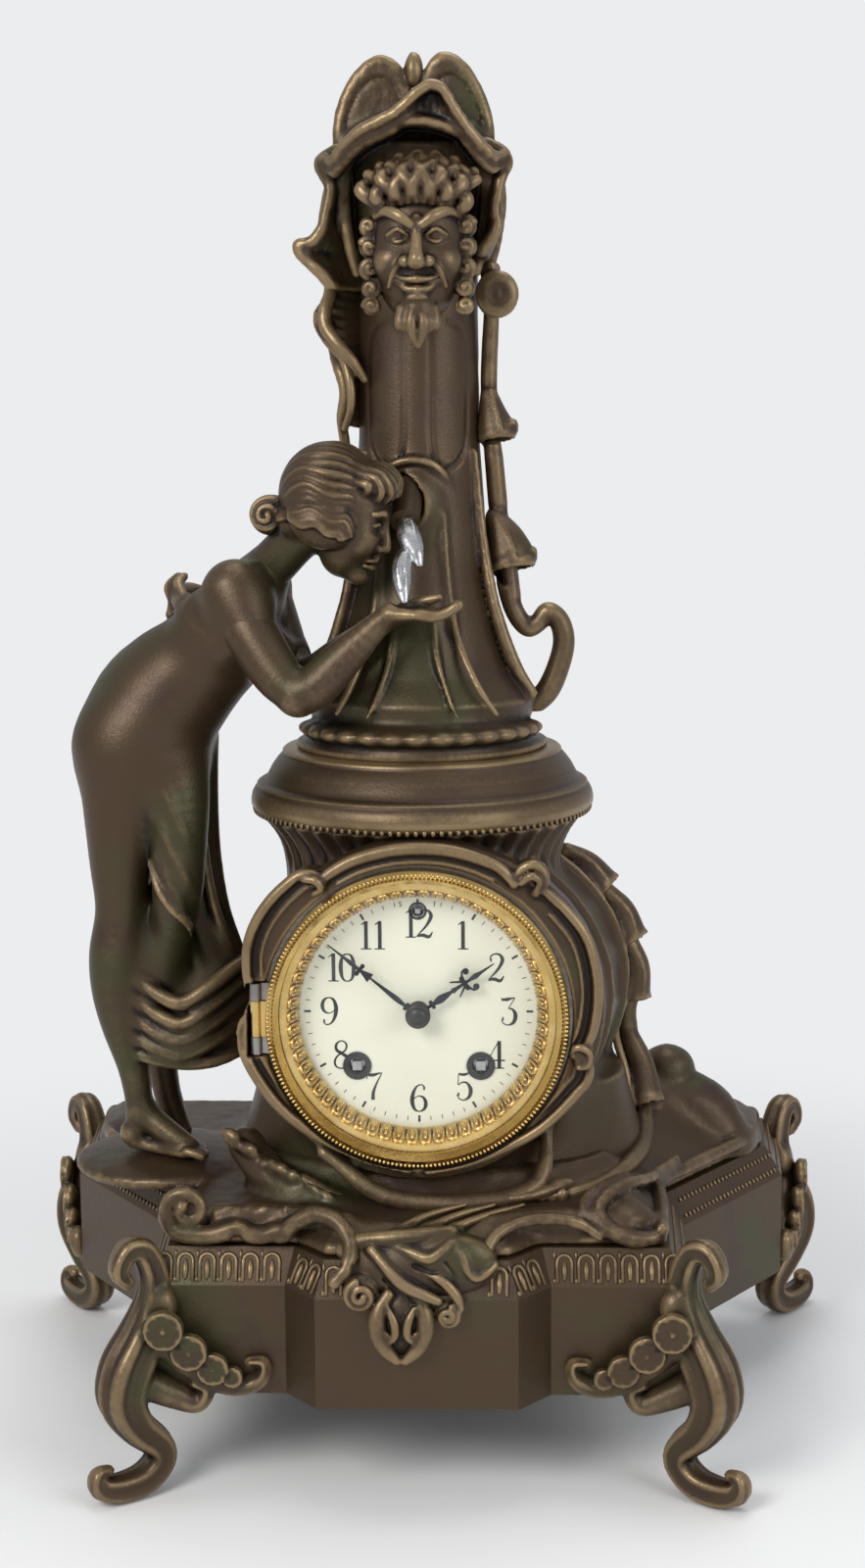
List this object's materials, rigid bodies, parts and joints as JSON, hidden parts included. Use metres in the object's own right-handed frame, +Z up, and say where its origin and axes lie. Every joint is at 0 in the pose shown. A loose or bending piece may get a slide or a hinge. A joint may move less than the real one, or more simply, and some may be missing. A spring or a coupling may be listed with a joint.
{
  "type": "figural clock",
  "caption": "Bronzed figural mantel clock: a woman drinks at a tall fountain column above a round hinged dial on a footed plinth, with a striking movement inside.",
  "frame": {"origin": "on the table under the middle of the clock's bounding box", "axes": "+Z up, the dial faces -Y, +X to the viewer's right"},
  "size_m": [0.3824, 0.2438, 0.592],
  "materials": {
    "bronzed_spelter": "dark bronze patina over cast spelter, gold rubbed on raised edges",
    "steel": "plain turned steel",
    "blued_steel": "blued black",
    "silvered": "silvered spelter",
    "glass": "clear polished",
    "enamel": "ivory enamel",
    "gilt": "gilt",
    "black": "black japanned",
    "tin": "tinned sheet",
    "iron": "black iron",
    "brass": "polished brass"
  },
  "bodies": {
    "case": {"base_plinth": "bronzed_spelter", "rock_ground": "bronzed_spelter", "foot_front_left": "bronzed_spelter", "foot_front_right": "bronzed_spelter", "foot_rear_left": "bronzed_spelter", "foot_rear_right": "bronzed_spelter", "casting_screws": "steel", "drum_case": "bronzed_spelter", "reed_stalk": "bronzed_spelter", "cornice_cap": "bronzed_spelter", "fountain_column": "bronzed_spelter", "tie_rod": "steel", "tie_nut": "steel", "shell_hood": "bronzed_spelter", "grotesque_mask": "bronzed_spelter", "vine_left": "bronzed_spelter", "vine_right": "bronzed_spelter", "figure_body": "bronzed_spelter", "figure_head": "bronzed_spelter", "figure_right_arm": "bronzed_spelter", "figure_left_arm": "bronzed_spelter", "spout": "bronzed_spelter", "water_stream": "silvered", "hinge_pin": "steel", "dial_plate": "enamel", "dial_pan": "tin", "winding_collars": "black", "front_plate": "brass", "rear_plate": "brass", "plate_pillars": "brass", "movement_screws": "steel", "time_mainspring": "steel", "strike_mainspring": "steel", "gong_coil": "steel", "gong_stand": "iron"},
    "bezel": {"bezel_ring": "brass", "sight_ring": "gilt", "bezel_glass": "glass"},
    "rear_cover": {"rear_cover": "tin"},
    "time_great": {"time_great_wheel": "brass"},
    "time_winder": {"time_winding_arbor": "steel"},
    "time_second": {"time_second_wheel": "brass"},
    "centre": {"centre_wheel": "brass", "minute_hand": "blued_steel", "hand_collet": "blued_steel"},
    "third": {"third_wheel": "brass"},
    "escape": {"escape_wheel": "brass"},
    "minute_work": {"minute_wheel": "brass"},
    "hour": {"hour_wheel": "brass", "hour_hand": "blued_steel"},
    "strike_great": {"strike_great_wheel": "brass"},
    "strike_winder": {"strike_winding_arbor": "steel"},
    "strike_second": {"strike_second_wheel": "brass"},
    "fly": {"fly": "brass"},
    "pendulum": {"verge": "steel", "pendulum_rod": "steel", "pendulum_bob": "brass"},
    "regulator": {"regulator_arbor": "steel"},
    "hammer": {"hammer": "iron"}
  },
  "joints": [
    {"name": "bezel_hinge", "type": "hinge", "parent": "case", "child": "bezel", "pos_m": [-0.067, -0.0735, 0.199], "axis": [0, 0, -1], "range_deg": [0, 100]},
    {"name": "cover_pull", "type": "slide", "parent": "case", "child": "rear_cover", "axis": [0, 1, 0], "range_m": [0, 0.04]},
    {"name": "minute_spin", "type": "hinge", "parent": "case", "child": "centre", "pos_m": [0, 0, 0.199], "axis": [0, -1, 0], "continuous": true},
    {"name": "time_great_spin", "type": "hinge", "parent": "case", "child": "time_great", "pos_m": [0.026, 0, 0.1755], "axis": [0, -1, 0], "continuous": true},
    {"name": "time_second_spin", "type": "hinge", "parent": "case", "child": "time_second", "pos_m": [0.00217, 0, 0.17831], "axis": [0, -1, 0], "continuous": true},
    {"name": "third_spin", "type": "hinge", "parent": "case", "child": "third", "pos_m": [0.01345, 0, 0.21444], "axis": [0, -1, 0], "continuous": true},
    {"name": "escape_spin", "type": "hinge", "parent": "case", "child": "escape", "pos_m": [0, 0, 0.2245], "axis": [0, -1, 0], "continuous": true},
    {"name": "minute_wheel_spin", "type": "hinge", "parent": "case", "child": "minute_work", "pos_m": [0, 0, 0.2134], "axis": [0, -1, 0], "continuous": true},
    {"name": "hour_spin", "type": "hinge", "parent": "case", "child": "hour", "pos_m": [0, 0, 0.199], "axis": [0, -1, 0], "continuous": true},
    {"name": "time_winding", "type": "hinge", "parent": "time_great", "child": "time_winder", "pos_m": [0.026, 0, 0.1755], "axis": [0, -1, 0], "continuous": true},
    {"name": "strike_great_spin", "type": "hinge", "parent": "case", "child": "strike_great", "pos_m": [-0.026, 0, 0.1755], "axis": [0, -1, 0], "continuous": true},
    {"name": "strike_second_spin", "type": "hinge", "parent": "case", "child": "strike_second", "pos_m": [-0.02901, 0, 0.19931], "axis": [0, -1, 0], "continuous": true},
    {"name": "fly_spin", "type": "hinge", "parent": "case", "child": "fly", "pos_m": [-0.02251, 0, 0.21706], "axis": [0, -1, 0], "continuous": true},
    {"name": "strike_winding", "type": "hinge", "parent": "strike_great", "child": "strike_winder", "pos_m": [-0.026, 0, 0.1755], "axis": [0, -1, 0], "continuous": true},
    {"name": "pendulum_swing", "type": "hinge", "parent": "case", "child": "pendulum", "pos_m": [0, 0, 0.237], "axis": [0, -1, 0], "range_deg": [-4, 4]},
    {"name": "regulator_turn", "type": "hinge", "parent": "case", "child": "regulator", "pos_m": [0, 0, 0.242], "axis": [0, -1, 0], "range_deg": [-170, 170]},
    {"name": "hammer_lift", "type": "hinge", "parent": "case", "child": "hammer", "pos_m": [-0.035, 0, 0.155], "axis": [0, -1, 0], "range_deg": [0, 10]}
  ],
  "couplings": [
    {"joint": "time_second_spin", "follows": "minute_spin", "ratio": -0.14286},
    {"joint": "time_great_spin", "follows": "minute_spin", "ratio": 0.035714},
    {"joint": "third_spin", "follows": "minute_spin", "ratio": -12},
    {"joint": "escape_spin", "follows": "minute_spin", "ratio": 132},
    {"joint": "minute_wheel_spin", "follows": "minute_spin", "ratio": -0.33333},
    {"joint": "hour_spin", "follows": "minute_spin", "ratio": 0.083333},
    {"joint": "strike_second_spin", "follows": "strike_great_spin", "ratio": -4},
    {"joint": "fly_spin", "follows": "strike_great_spin", "ratio": 24}
  ]
}
